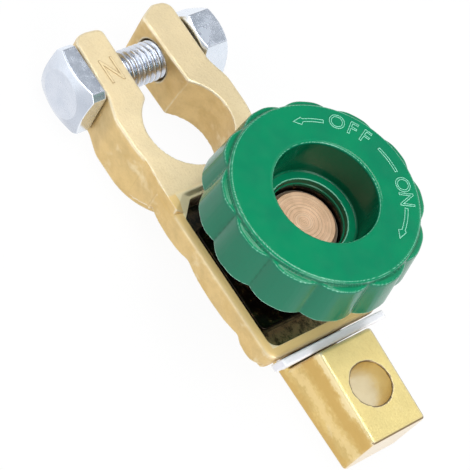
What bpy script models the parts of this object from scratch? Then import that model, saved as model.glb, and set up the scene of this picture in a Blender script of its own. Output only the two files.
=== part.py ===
# Battery disconnect switch: a split post clamp and a cable lug, joined through a screw-down contact
# that a lobed knob works. Metres, +Z up. X runs along the switch from the clamp to the lug, Y is
# across it, and the knob turns about a vertical axis.
#
# Everything is laid out from the knob's axis at x = y = 0 and from the underside at z = 0. The empty
# switch_frame then moves the whole switch so that its bounding box is centred on the origin.

import math

import bmesh
import bpy
from mathutils import Matrix, Vector

MM = 0.001
GAP = 0.3 * MM

# Split clamp: one casting with a post bore, a slot and two ears
CLAMP_HEIGHT = 12.4 * MM
BORE_X = -30.4 * MM
BORE_TOP_RADIUS = 9.12 * MM
BORE_TAPER = 1 / 18
RING_WALL = 4.4 * MM
EAR_REACH = 25.2 * MM
EAR_THICKNESS = 7.1 * MM
SLOT_WIDTH = 9.9 * MM
NECK_X = -38.2 * MM
EAR_TAPER = 0.8 * MM
EAR_SHORTER = 0.7 * MM
EAR_TIP_SLOPE = 1.9 * MM
NECK_ROUND = 1.6 * MM

# Contact block: the square box that the same casting carries under the knob
BLOCK_WIDTH = 26.8 * MM
BLOCK_REAR_X = -20.6 * MM
BLOCK_FRONT_X = 15.9 * MM
BLOCK_BASE_Z = 4.8 * MM
BLOCK_RIM_Z = 10.8 * MM
FRONT_LEAN = math.radians(11.8)
FLOOR_THICKNESS = 2.0 * MM
SIDE_WALL = 1.8 * MM
FRONT_WALL = 1.4 * MM
POCKET_REAR_X = -17.0 * MM
POCKET_CORNER = 3.3 * MM
STEP_EDGE_X = -17.9 * MM
STEP_RUN = 0.5 * MM
STEP_FACET = 2.4 * MM
STEP_FACET_WIDTH = 3.0 * MM
STEP_FOOT_SIDE = 2.4 * MM
STEP_FOOT_AHEAD = 0.9 * MM
BLOCK_EDGE = 0.9 * MM
CASTING_EDGE = 0.4 * MM

# Clamp bolt and nut, M8
BOLT_RADIUS = 4.0 * MM
BOLT_HOLE_CLEARANCE = 0.3 * MM
BOLT_Z = 6.8 * MM
BOLT_EAR_REACH = 16.8 * MM
HEAD_ACROSS = 12.9 * MM
HEAD_THICKNESS = 4.4 * MM
HEAD_FLAT_RADIUS = 4.9 * MM
HEAD_CORNER_RADIUS = 8.3 * MM
HEAD_SEAT_RADIUS = 8.1 * MM
HEAD_CHAMFER = math.radians(24)
NUT_ACROSS = 12.8 * MM
NUT_THICKNESS = 6.5 * MM
NUT_FLAT_RADIUS = 5.6 * MM
NUT_SEAT_RADIUS = 6.2 * MM
NUT_CHAMFER = math.radians(30)
NUT_TURN = math.radians(6)

# Cable lug: a drilled block with a tongue that runs back under the box
LUG_WIDTH = 12.8 * MM
LUG_LENGTH = 19.0 * MM
LUG_TOP_Z = 14.3 * MM
LUG_TOP_FALL = math.radians(5.2)
LUG_END_LEAN = 0.7 * MM
LUG_HOLE_RADIUS = 4.2 * MM
LUG_HOLE_FROM_END = 9.9 * MM
LUG_EDGE = 0.6 * MM
TONGUE_THICKNESS = 3.1 * MM
TONGUE_REAR_X = -16.5 * MM

# White insulator: a lip between box and lug, and a sheet between box and tongue
LIP_THICKNESS = 1.6 * MM
LIP_TOP_Z = 12.2 * MM
LIP_WIDTH = 24.4 * MM
LIP_DROP = 4.2 * MM
SHEET_MARGIN = 1.2 * MM

# Contact stud, its bush, and the brass nut that the knob turns on it
STUD_RADIUS = 6.85 * MM
STUD_TOP_Z = 24.2 * MM
STUD_FOOT_RADIUS = 4.0 * MM
BUSH_WALL = 1.6 * MM
NUT_BORE_CLEARANCE = 0.3 * MM
INSERT_ACROSS = 16.6 * MM
FLANGE_RADIUS = 9.8 * MM
FLANGE_THICKNESS = 2.0 * MM
NECK_WALL = 1.5 * MM
RING_GROOVE_DEPTH = 0.7 * MM
RETAINER_THICKNESS = 0.6 * MM
RETAINER_LIP = 0.5 * MM
RETAINER_WIDTH = 1.4 * MM

# Square contact plate, drawn raised off its seat with its top level with the box's rim
PLATE_SIDE = 22.6 * MM
PLATE_THICKNESS = 2.6 * MM
PLATE_LIFT = 1.2 * MM

# Insulated rivets that hold box, sheet and tongue together
RIVET_SHANK_RADIUS = 1.2 * MM
RIVET_HEAD_RADIUS = 2.0 * MM
RIVET_HEAD_HEIGHT = 0.9 * MM
SLEEVE_WALL = 0.8 * MM
SLEEVE_FLANGE_THICKNESS = 0.6 * MM
RIVET_INSET = 2.6 * MM
RIVET_SPREAD = 3.4 * MM

# Knob
LOBES = 12
LOBE_RADIUS = 20.25 * MM
VALLEY_DEPTH = 1.1 * MM
VALLEY_HALF_ANGLE = math.radians(11)
VALLEY_SHARPNESS = 1.6
VALLEY_PHASE = math.radians(20)
KNOB_TOP_Z = 34.8 * MM
KNOB_HEIGHT = 10.0 * MM
FACE_RADIUS = 18.05 * MM
FACE_RISE = 0.9 * MM
WELL_RADIUS = 10.0 * MM
WELL_FLOOR_RADIUS = 9.4 * MM
WEB_THICKNESS = 1.5 * MM
WEB_HOLE_RADIUS = 7.6 * MM
HUB_WALL = 1.2 * MM
HUB_LIFT = 1.3 * MM
KNOB_SKIN = 2.2 * MM
RIB_THICKNESS = 1.2 * MM
KNOB_DRAFT = 1.0 * MM
KNOB_EDGE = 0.5 * MM
FACE_EDGE = 0.35 * MM
WELL_EDGE = 0.5 * MM
WEB_HOLE_FOOT = 0.1 * MM

# Worked out from the sizes above
SLOT_HALF = SLOT_WIDTH / 2
EAR_OUTER_Y = SLOT_HALF + EAR_THICKNESS
EAR_TIP_X = BORE_X - EAR_REACH
RING_RADIUS = BORE_TOP_RADIUS + RING_WALL
BLOCK_HALF = BLOCK_WIDTH / 2
FLOOR_Z = BLOCK_BASE_Z + FLOOR_THICKNESS
BOLT_X = BORE_X - BOLT_EAR_REACH
HEAD_SEAT_Y = -EAR_OUTER_Y - GAP
HEAD_END_Y = HEAD_SEAT_Y - HEAD_THICKNESS
NUT_SEAT_Y = EAR_OUTER_Y + GAP
NUT_END_Y = NUT_SEAT_Y + NUT_THICKNESS
SHEET_TOP_Z = BLOCK_BASE_Z - GAP
SHEET_BASE_Z = TONGUE_THICKNESS + GAP
PLATE_BASE_Z = FLOOR_Z + GAP + PLATE_LIFT
PLATE_TOP_Z = PLATE_BASE_Z + PLATE_THICKNESS
FLANGE_BASE_Z = PLATE_TOP_Z + GAP
FLANGE_TOP_Z = FLANGE_BASE_Z + FLANGE_THICKNESS
KNOB_BASE_Z = KNOB_TOP_Z - KNOB_HEIGHT
HUB_BASE_Z = FLANGE_TOP_Z + HUB_LIFT
INSERT_TOP_Z = KNOB_BASE_Z - GAP
STUD_HOLE_RADIUS = STUD_RADIUS + GAP + BUSH_WALL + GAP
GROOVE_BASE_Z = PLATE_BASE_Z + RETAINER_LIP
GROOVE_TOP_Z = GROOVE_BASE_Z + RETAINER_THICKNESS + 2 * GAP
INSERT_BORE = STUD_RADIUS + NUT_BORE_CLEARANCE
NECK_RADIUS = INSERT_BORE + NECK_WALL
HUB_SOCKET_ACROSS = INSERT_ACROSS + 2 * GAP
HUB_RADIUS = HUB_SOCKET_ACROSS / 2 / math.cos(math.pi / 6) + HUB_WALL


def front_x(z, offset=0.0):
    """X of the leaning front face of the box at height z, moved out by offset."""
    return BLOCK_FRONT_X + (z - BLOCK_BASE_Z) * math.tan(FRONT_LEAN) + offset / math.cos(FRONT_LEAN)


LIP_INNER = GAP
LIP_OUTER = LIP_INNER + LIP_THICKNESS
LUG_OFFSET = LIP_OUTER + GAP
LUG_NEAR_TOP_X = front_x(LUG_TOP_Z, LUG_OFFSET)
LUG_END_X = LUG_NEAR_TOP_X + LUG_LENGTH
LUG_HOLE_X = LUG_END_X - LUG_HOLE_FROM_END
RIVET_X = TONGUE_REAR_X + RIVET_INSET
RIVET_PLACES = (("near", -RIVET_SPREAD), ("far", RIVET_SPREAD))


def clear_scene():
    for old in list(bpy.data.objects):
        bpy.data.objects.remove(old, do_unlink=True)


def collection(name):
    made = bpy.data.collections.new(name)
    bpy.context.scene.collection.children.link(made)
    return made


def material(name, colour, roughness, metallic=0.0):
    made = bpy.data.materials.new(name)
    made.use_nodes = True
    shader = made.node_tree.nodes["Principled BSDF"]
    shader.inputs["Base Color"].default_value = (*colour, 1.0)
    shader.inputs["Roughness"].default_value = roughness
    shader.inputs["Metallic"].default_value = metallic
    return made


def link(name, mesh, where):
    made = bpy.data.objects.new(name, mesh)
    where.objects.link(made)
    return made


def smooth(mesh, angle=40):
    mesh.shade_smooth()
    mesh.set_sharp_from_angle(angle=math.radians(angle))


def fillet_outline(corners, steps=6):
    """Points of a closed outline whose corners (x, y, radius) are rounded by tangent arcs."""
    points = []
    count = len(corners)
    for i, (x, y, radius) in enumerate(corners):
        here = Vector((x, y))
        if radius <= 0:
            points.append((x, y))
            continue
        before = (Vector(corners[i - 1][:2]) - here).normalized()
        after = (Vector(corners[(i + 1) % count][:2]) - here).normalized()
        half = before.angle(after) / 2
        centre = here + (before + after).normalized() * (radius / math.sin(half))
        start = here + before * (radius / math.tan(half)) - centre
        end = here + after * (radius / math.tan(half)) - centre
        first = math.atan2(start.y, start.x)
        sweep = (math.atan2(end.y, end.x) - first + math.pi) % (2 * math.pi) - math.pi
        for k in range(steps + 1):
            angle = first + sweep * k / steps
            points.append((centre.x + radius * math.cos(angle), centre.y + radius * math.sin(angle)))
    return points


def outline_solid(name, outline, low, high, where):
    """Flat solid of one closed outline, from height low to high."""
    return loft_solid(name, [(low, outline), (high, outline)], where)


def outlines_solid(name, outlines, low, high, where):
    """Flat solids of several closed outlines in one mesh, from a filled 2D curve."""
    curve = bpy.data.curves.new(name, "CURVE")
    curve.dimensions = "2D"
    curve.fill_mode = "BOTH"
    curve.extrude = (high - low) / 2
    for outline in outlines:
        spline = curve.splines.new("POLY")
        spline.points.add(len(outline) - 1)
        for point, (x, y) in zip(spline.points, outline):
            point.co = (x, y, 0.0, 1.0)
        spline.use_cyclic_u = True
    guide = link(name + "_guide", curve, where)
    bpy.context.view_layer.update()
    mesh = bpy.data.meshes.new_from_object(guide.evaluated_get(bpy.context.evaluated_depsgraph_get()))
    bpy.data.objects.remove(guide, do_unlink=True)
    work = bmesh.new()
    work.from_mesh(mesh)
    bmesh.ops.remove_doubles(work, verts=work.verts, dist=1e-6)
    bmesh.ops.recalc_face_normals(work, faces=work.faces)
    bmesh.ops.translate(work, verts=work.verts, vec=(0, 0, (low + high) / 2))
    work.to_mesh(mesh)
    work.free()
    mesh.materials.clear()
    mesh.name = name
    return link(name, mesh, where)


def loft_solid(name, levels, where):
    """Solid through outlines with the same number of points: levels lists (height, outline)."""
    work = bmesh.new()
    rings = [[work.verts.new((x, y, height)) for x, y in outline] for height, outline in levels]
    work.faces.new(list(reversed(rings[0])))
    work.faces.new(rings[-1])
    for lower, upper in zip(rings[:-1], rings[1:]):
        for i in range(len(lower)):
            j = (i + 1) % len(lower)
            work.faces.new((lower[i], lower[j], upper[j], upper[i]))
    bmesh.ops.recalc_face_normals(work, faces=work.faces)
    mesh = bpy.data.meshes.new(name)
    work.to_mesh(mesh)
    work.free()
    smooth(mesh)
    return link(name, mesh, where)


def turned(name, profile, where, steps=48, closed=False):
    """Turned solid about Z from a profile of (radius, height), outer side listed top to bottom."""
    mesh = bpy.data.meshes.new(name)
    points = [(radius, 0.0, height) for radius, height in profile]
    edges = [(i, i + 1) for i in range(len(points) - 1)]
    if closed:
        edges.append((len(points) - 1, 0))
    mesh.from_pydata(points, edges, [])
    made = link(name, mesh, where)
    screw = made.modifiers.new("turn", "SCREW")
    screw.axis = "Z"
    screw.steps = steps
    screw.render_steps = steps
    screw.use_merge_vertices = True
    screw.merge_threshold = 1e-5
    screw.use_smooth_shade = True
    return made


def prism(name, radius, low, high, where, sides=48, phase=0.0):
    """Upright cylinder or regular prism whose corners lie at radius."""
    work = bmesh.new()
    bmesh.ops.create_cone(work, cap_ends=True, segments=sides, radius1=radius, radius2=radius,
                          depth=high - low)
    bmesh.ops.rotate(work, verts=work.verts, cent=(0, 0, 0), matrix=Matrix.Rotation(phase, 3, "Z"))
    bmesh.ops.translate(work, verts=work.verts, vec=(0, 0, (low + high) / 2))
    mesh = bpy.data.meshes.new(name)
    work.to_mesh(mesh)
    work.free()
    smooth(mesh)
    return link(name, mesh, where)


def box(name, low, high, where):
    """Box between two opposite corners."""
    work = bmesh.new()
    bmesh.ops.create_cube(work, size=1.0)
    size = [b - a for a, b in zip(low, high)]
    bmesh.ops.scale(work, verts=work.verts, vec=size)
    bmesh.ops.translate(work, verts=work.verts, vec=[(a + b) / 2 for a, b in zip(low, high)])
    mesh = bpy.data.meshes.new(name)
    work.to_mesh(mesh)
    work.free()
    return link(name, mesh, where)


def boolean(target, tool, operation="DIFFERENCE"):
    step = target.modifiers.new(tool.name, "BOOLEAN")
    step.operation = operation
    step.solver = "EXACT"
    step.object = tool
    tool.hide_render = True
    tool.display_type = "WIRE"


def round_edges(obj, width, segments=2, angle=35):
    bevel = obj.modifiers.new("edges", "BEVEL")
    bevel.width = width
    bevel.segments = segments
    bevel.limit_method = "ANGLE"
    bevel.angle_limit = math.radians(angle)
    bevel.use_clamp_overlap = False
    return bevel


def round_levels(obj, levels, width, segments, beyond_x=-1.0):
    """Round the edges at each height by a share of width, where both ends lie beyond an x."""
    mesh = obj.data
    weights = mesh.attributes.new("bevel_weight_edge", "FLOAT", "EDGE")
    for edge in mesh.edges:
        ends = [mesh.vertices[i].co for i in edge.vertices]
        for height, share in levels.items():
            if all(abs(end.z - height) < 1e-6 for end in ends) and max(end.x for end in ends) > beyond_x:
                weights.data[edge.index].value = share
    bevel = round_edges(obj, width, segments)
    bevel.limit_method = "WEIGHT"


def lay_along_y(obj):
    """Turn an upright solid's mesh so that its +Z end faces -Y."""
    obj.data.transform(Matrix.Rotation(math.pi / 2, 4, "X"))


def clamp_side(taper, shorter, slope):
    """One ear and its half of the ring, from the slot's neck round to the box's side, for +Y."""
    tip = EAR_TIP_X + shorter
    outer = EAR_OUTER_Y - taper
    return [
        (NECK_X, SLOT_HALF, NECK_ROUND),
        (tip + slope, SLOT_HALF - 0.4 * MM, 1.4 * MM),
        (tip, SLOT_HALF + 3.2 * MM, 1.8 * MM),
        (tip + 0.4 * MM, outer, 2.3 * MM),
        (BORE_X - RING_RADIUS * 0.76, EAR_OUTER_Y, 5.0 * MM),
        (BORE_X - RING_RADIUS * 0.42, RING_RADIUS, 6.0 * MM)]


def arc(radius, first, last, steps):
    """Points about the bore's axis from one angle to another, in degrees."""
    angles = [math.radians(first + (last - first) * k / steps) for k in range(steps + 1)]
    return [(BORE_X + radius * math.cos(a), radius * math.sin(a)) for a in angles]


def clamp_outline():
    """Plan of the clamp: ears, slot, neck, bore and ring. The bore is left small for the taper cut."""
    far = clamp_side(0.0, 0.0, EAR_TIP_SLOPE)
    near = [(x, -y, radius) for x, y, radius in reversed(clamp_side(EAR_TAPER, EAR_SHORTER, 0.4 * MM))]
    bore = [(x, y, 0) for x, y in arc(BORE_TOP_RADIUS - 0.12 * MM, -127, 127, 48)]
    ring = [(x, y, 0) for x, y in arc(RING_RADIUS, 90, -90, 36)]
    return fillet_outline(bore + far + ring + near)


def block_outline(z):
    """Plan of the box at height z: the front face leans, the rear is buried in the ring."""
    front = front_x(z)
    corners = [(BLOCK_REAR_X, -BLOCK_HALF, 0), (front, -BLOCK_HALF, 2.4 * MM),
               (front, BLOCK_HALF, 2.4 * MM), (BLOCK_REAR_X, BLOCK_HALF, 0)]
    return fillet_outline(corners)


def bridge_outline(share):
    """Plan of the web between ring and box, with a facet at each outer corner: top 0, foot 1."""
    edge = STEP_EDGE_X + STEP_RUN * share
    half = BLOCK_HALF - 0.15 * MM
    inner = half - STEP_FACET_WIDTH - STEP_FOOT_SIDE * share
    facet = STEP_EDGE_X + STEP_FACET
    bend = (facet + STEP_FOOT_AHEAD * share, half - 0.1 * MM - STEP_FOOT_SIDE * share)
    waist = RING_RADIUS - 0.7 * MM
    corners = [(BORE_X, -waist, 0), (BORE_X + 5.0 * MM, -waist, 6.0 * MM), (BLOCK_REAR_X, -half, 0),
               (facet, -half, 0), (bend[0], -bend[1], 0), (edge, -inner, 0), (edge, inner, 0),
               (*bend, 0), (facet, half, 0), (BLOCK_REAR_X, half, 0),
               (BORE_X + 5.0 * MM, waist, 6.0 * MM), (BORE_X, waist, 0)]
    return fillet_outline(corners)


def pocket_outline():
    inner = BLOCK_HALF - SIDE_WALL
    front = front_x(FLOOR_Z) - FRONT_WALL
    cut = POCKET_CORNER
    corners = [(POCKET_REAR_X + cut, -inner, 0), (front, -inner, 2.0 * MM), (front, inner, 2.0 * MM),
               (POCKET_REAR_X + cut, inner, 0), (POCKET_REAR_X, inner - cut, 0),
               (POCKET_REAR_X, -inner + cut, 0)]
    return fillet_outline(corners)


def scallop_outline():
    """Side view of what is taken off the box's lower edges: three shallow arches of skirt."""
    ends = (BLOCK_REAR_X + 0.2 * MM, -7.9 * MM, 8.7 * MM, BLOCK_FRONT_X - 0.6 * MM)
    rise = 1.5 * MM
    below = BLOCK_BASE_Z - 1.0 * MM
    points = [(ends[-1] + 2 * MM, below), (ends[0], below)]
    steps = 8
    for start, end in zip(ends[:-1], ends[1:]):
        for k in range(steps + 1):
            share = k / steps
            lift = rise * (2 * share - 1) ** 2 + 0.12 * MM
            points.append((start + (end - start) * share, BLOCK_BASE_Z + lift))
    points.append((ends[-1] + 2 * MM, BLOCK_BASE_Z + rise + 0.12 * MM))
    unique = []
    for point in points:
        if not unique or (Vector(point) - Vector(unique[-1])).length > 1e-6:
            unique.append(point)
    return unique


def make_bridge(cutters):
    """Web between ring and box: its side runs down to a slanted lower edge and up to the step."""
    foot = bridge_outline(1.0)
    web = loft_solid("bridge_form", [(0.3 * MM, foot), (BLOCK_RIM_Z - 0.2 * MM, foot),
                                     (CLAMP_HEIGHT, bridge_outline(0.0))], cutters)
    below = -1.0 * MM
    slant = [(BORE_X - 1.0 * MM, below), (BLOCK_FRONT_X, below), (BLOCK_FRONT_X, BLOCK_BASE_Z + 0.4 * MM),
             (BLOCK_REAR_X, BLOCK_BASE_Z + 0.4 * MM), (BLOCK_REAR_X - 4.0 * MM, 1.8 * MM),
             (BORE_X + 1.5 * MM, 0.1 * MM), (BORE_X - 1.0 * MM, 0.0)]
    wedge = outline_solid("bridge_wedge_cutter", slant, -BLOCK_HALF, BLOCK_HALF, cutters)
    wedge.rotation_euler.x = math.pi / 2
    boolean(web, wedge)
    return web, wedge


def make_arches(cutters):
    """Scallops under both long sides of the box."""
    skirt = SIDE_WALL * 0.75
    made = []
    for side in (-1, 1):
        arches = outline_solid("arch_cutter", scallop_outline(), -skirt, skirt, cutters)
        arches.rotation_euler.x = math.pi / 2
        arches.location.y = side * (BLOCK_HALF + 0.2 * MM)
        made.append(arches)
    return made


def make_body_holes(cutters):
    """Pocket, tapered post bore, bolt hole, stud hole and the two sleeve holes."""
    over = 1.0 * MM
    pocket = outline_solid("pocket_cutter", pocket_outline(), FLOOR_Z, CLAMP_HEIGHT + 2 * MM, cutters)
    low_radius = BORE_TOP_RADIUS + (CLAMP_HEIGHT + over) * BORE_TAPER
    high_radius = BORE_TOP_RADIUS - over * BORE_TAPER
    bore = turned("bore_cutter", [(0, CLAMP_HEIGHT + over), (high_radius, CLAMP_HEIGHT + over),
                                  (low_radius, -over), (0, -over)], cutters, steps=72)
    bore.location.x = BORE_X
    bolt_hole = prism("bolt_hole_cutter", BOLT_RADIUS + BOLT_HOLE_CLEARANCE,
                      -EAR_OUTER_Y - over, EAR_OUTER_Y + over, cutters)
    lay_along_y(bolt_hole)
    bolt_hole.location = (BOLT_X, 0, BOLT_Z)
    stud_hole = prism("stud_hole_cutter", STUD_HOLE_RADIUS, BLOCK_BASE_Z - over, FLOOR_Z + over, cutters)
    tools = [pocket, bore, bolt_hole, stud_hole]
    for place, y in RIVET_PLACES:
        hole = prism(place + "_sleeve_hole_cutter", RIVET_SHANK_RADIUS + 2 * GAP + SLEEVE_WALL,
                     BLOCK_BASE_Z - over, FLOOR_Z + over, cutters, sides=24)
        hole.location = (RIVET_X, y, 0)
        tools.append(hole)
    return tools


def make_clamp_body(parts, cutters, frame, brass):
    body = outline_solid("clamp_body", clamp_outline(), 0.0, CLAMP_HEIGHT, parts)
    round_edges(body, CASTING_EDGE, angle=50)
    block = loft_solid("block_form", [(BLOCK_BASE_Z, block_outline(BLOCK_BASE_Z)),
                                      (BLOCK_RIM_Z, block_outline(BLOCK_RIM_Z))], cutters)
    round_levels(block, {BLOCK_RIM_Z: 1.0, BLOCK_BASE_Z: 0.5}, BLOCK_EDGE, 3, beyond_x=0.0)
    web, wedge = make_bridge(cutters)
    forms = [block, web]
    for form in forms:
        boolean(body, form, "UNION")
    tools = make_body_holes(cutters) + make_arches(cutters)
    for tool in tools:
        boolean(body, tool)
    finish(body, frame, brass)
    for tool in tools + forms + [wedge]:
        tool.parent = frame


def finish(obj, parent, look):
    obj.parent = parent
    obj.data.materials.append(look)


def chamfered_head(name, corner_radius, sides, phase, thickness, chamfer, flats, parts, cutters):
    """Square or hexagonal head lying on Z, trimmed by a turned form.

    flats are the radii of its end, its seat and its corners.
    """
    head = prism(name, corner_radius, 0.0, thickness, parts, sides=sides, phase=phase)
    slope = math.tan(chamfer)
    end_radius, seat_radius, reach = flats
    foot = (reach - seat_radius) * slope
    cone = turned(name + "_chamfer", [(0, thickness), (end_radius, thickness),
                                      (reach, thickness - (reach - end_radius) * slope),
                                      (reach, foot), (seat_radius, 0), (0, 0)], cutters, steps=64)
    boolean(head, cone, "INTERSECT")
    return head, cone


def make_clamp_fasteners(parts, cutters, frame, steel):
    corner = HEAD_ACROSS / 2 * math.sqrt(2)
    bolt, cone = chamfered_head("clamp_bolt", corner, 4, math.pi / 4, HEAD_THICKNESS, HEAD_CHAMFER,
                                (HEAD_FLAT_RADIUS, HEAD_SEAT_RADIUS, HEAD_CORNER_RADIUS), parts, cutters)
    shank_length = NUT_END_Y - HEAD_SEAT_Y
    shank = prism("shank_form", BOLT_RADIUS, -shank_length, HEAD_THICKNESS / 2, cutters, sides=40)
    boolean(bolt, shank, "UNION")
    for solid in (bolt, cone, shank):
        solid.rotation_euler.x = math.pi / 2
        solid.location = (BOLT_X, HEAD_SEAT_Y, BOLT_Z)
        solid.parent = frame
    bolt.data.materials.append(steel)

    nut_corner = NUT_ACROSS / 2 / math.cos(math.pi / 6)
    nut, nut_cone = chamfered_head("clamp_nut", nut_corner, 6, math.pi / 6 + NUT_TURN, NUT_THICKNESS,
                                   NUT_CHAMFER, (NUT_FLAT_RADIUS, NUT_SEAT_RADIUS, nut_corner + 1.0 * MM),
                                   parts, cutters)
    nut_hole = prism("nut_hole_cutter", BOLT_RADIUS + GAP, -1.0 * MM, NUT_THICKNESS + 1.0 * MM, cutters,
                     sides=40)
    boolean(nut, nut_hole)
    for solid in (nut, nut_cone, nut_hole):
        solid.rotation_euler.x = -math.pi / 2
        solid.location = (BOLT_X, NUT_SEAT_Y, BOLT_Z)
        solid.parent = frame
    nut.data.materials.append(steel)


def make_lug(parts, cutters, frame, brass):
    end_fall = LUG_LENGTH * math.tan(LUG_TOP_FALL)
    near_foot = front_x(TONGUE_THICKNESS, LUG_OFFSET)
    corners = [(TONGUE_REAR_X, 0.0, 0), (LUG_END_X - LUG_END_LEAN, 0.0, 0),
               (LUG_END_X, LUG_TOP_Z - end_fall, 0), (LUG_NEAR_TOP_X, LUG_TOP_Z, 0),
               (near_foot, TONGUE_THICKNESS, 0), (TONGUE_REAR_X, TONGUE_THICKNESS, 0)]
    half = LUG_WIDTH / 2
    lug = outline_solid("terminal_lug", fillet_outline(corners), -half, half, parts)
    round_edges(lug, LUG_EDGE, segments=3)
    lug.rotation_euler.x = math.pi / 2
    over = 1.0 * MM
    cable_hole = prism("cable_hole_cutter", LUG_HOLE_RADIUS, -over, LUG_TOP_Z + over, cutters)
    cable_hole.location.x = LUG_HOLE_X
    foot_hole = prism("stud_foot_cutter", STUD_FOOT_RADIUS + GAP, -over, TONGUE_THICKNESS + over, cutters)
    tools = [cable_hole, foot_hole]
    for place, y in RIVET_PLACES:
        hole = prism(place + "_rivet_hole_cutter", RIVET_SHANK_RADIUS + GAP, -over,
                     TONGUE_THICKNESS + over, cutters, sides=24)
        hole.location = (RIVET_X, y, 0)
        tools.append(hole)
    for tool in tools:
        boolean(lug, tool)
        tool.parent = frame
    finish(lug, frame, brass)


def make_insulator(parts, cutters, frame, white):
    sheet_half = LUG_WIDTH / 2 + SHEET_MARGIN
    rear = TONGUE_REAR_X
    corners = [(rear, SHEET_BASE_Z, 0), (front_x(SHEET_BASE_Z, LIP_OUTER), SHEET_BASE_Z, 0),
               (front_x(LIP_TOP_Z, LIP_OUTER), LIP_TOP_Z, 0.3 * MM),
               (front_x(LIP_TOP_Z, LIP_INNER), LIP_TOP_Z, 0.3 * MM),
               (front_x(SHEET_TOP_Z, LIP_INNER), SHEET_TOP_Z, 0), (rear, SHEET_TOP_Z, 0)]
    plate = outline_solid("insulator_plate", fillet_outline(corners, steps=3),
                          -LIP_WIDTH / 2, LIP_WIDTH / 2, parts)
    plate.rotation_euler.x = math.pi / 2
    over = 1.0 * MM
    tools = []
    for side in (-1, 1):
        near, far = sorted((side * sheet_half, side * (LIP_WIDTH / 2 + over)))
        tools.append(box("sheet_trim_cutter", (rear - over, near, SHEET_BASE_Z - over),
                         (LUG_END_X, far, LIP_TOP_Z - LIP_DROP), cutters))
    tools.append(prism("sheet_stud_cutter", STUD_RADIUS + GAP, SHEET_BASE_Z - over, SHEET_TOP_Z + over,
                       cutters))
    for place, y in RIVET_PLACES:
        hole = prism(place + "_sheet_hole_cutter", RIVET_SHANK_RADIUS + GAP, SHEET_BASE_Z - over,
                     SHEET_TOP_Z + over, cutters, sides=24)
        hole.location = (RIVET_X, y, 0)
        tools.append(hole)
    for tool in tools:
        boolean(plate, tool)
        tool.parent = frame
    finish(plate, frame, white)

    inner, outer = STUD_RADIUS + GAP, STUD_RADIUS + GAP + BUSH_WALL
    bush = turned("stud_bush", [(outer, FLOOR_Z), (outer, BLOCK_BASE_Z), (inner, BLOCK_BASE_Z),
                                (inner, FLOOR_Z)], parts, closed=True)
    finish(bush, frame, white)


def make_stud(parts, frame, copper):
    chamfer = 0.8 * MM
    stud = turned("contact_stud", [
        (0, STUD_TOP_Z), (STUD_RADIUS - chamfer, STUD_TOP_Z), (STUD_RADIUS, STUD_TOP_Z - chamfer),
        (STUD_RADIUS, SHEET_BASE_Z), (STUD_FOOT_RADIUS, SHEET_BASE_Z), (STUD_FOOT_RADIUS, GAP),
        (0, GAP)], parts)
    finish(stud, frame, copper)


def make_rivets(parts, frame, steel, white):
    shank, head = RIVET_SHANK_RADIUS, RIVET_HEAD_RADIUS
    inner = shank + GAP
    outer = inner + SLEEVE_WALL
    flange_low = FLOOR_Z + GAP
    flange_high = flange_low + SLEEVE_FLANGE_THICKNESS
    head_low = flange_high + GAP
    dome = [(head * math.cos(a), head_low + RIVET_HEAD_HEIGHT * math.sin(a))
            for a in [math.radians(d) for d in (75, 55, 35, 15)]]
    rivet_profile = [(0, head_low + RIVET_HEAD_HEIGHT)] + dome + [
        (head, head_low), (shank, head_low), (shank, GAP), (0, GAP)]
    sleeve_profile = [(head, flange_high), (head, flange_low), (outer, flange_low),
                      (outer, BLOCK_BASE_Z), (inner, BLOCK_BASE_Z), (inner, flange_high)]
    for place, y in RIVET_PLACES:
        rivet = turned(place + "_rivet", rivet_profile, parts, steps=24)
        sleeve = turned(place + "_rivet_sleeve", sleeve_profile, parts, steps=24, closed=True)
        rivet.location = (RIVET_X, y, 0)
        sleeve.location = (RIVET_X, y, 0)
        finish(rivet, frame, steel)
        finish(sleeve, frame, white)


def make_contact_plate(parts, cutters, carrier, copper):
    half = PLATE_SIDE / 2
    corner = 1.2 * MM
    outline = fillet_outline([(-half, -half, corner), (half, -half, corner), (half, half, corner),
                              (-half, half, corner)], steps=4)
    plate = outline_solid("contact_plate", outline, PLATE_BASE_Z, PLATE_TOP_Z, parts)
    over = 1.0 * MM
    neck_hole = prism("neck_hole_cutter", NECK_RADIUS + GAP, PLATE_BASE_Z - over, PLATE_TOP_Z + over,
                      cutters)
    retainer_radius = NECK_RADIUS - RING_GROOVE_DEPTH + GAP + RETAINER_WIDTH
    recess = prism("retainer_recess_cutter", retainer_radius + GAP, PLATE_BASE_Z - over, GROOVE_TOP_Z,
                   cutters)
    for tool in (neck_hole, recess):
        boolean(plate, tool)
        tool.parent = carrier
    finish(plate, carrier, copper)


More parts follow.
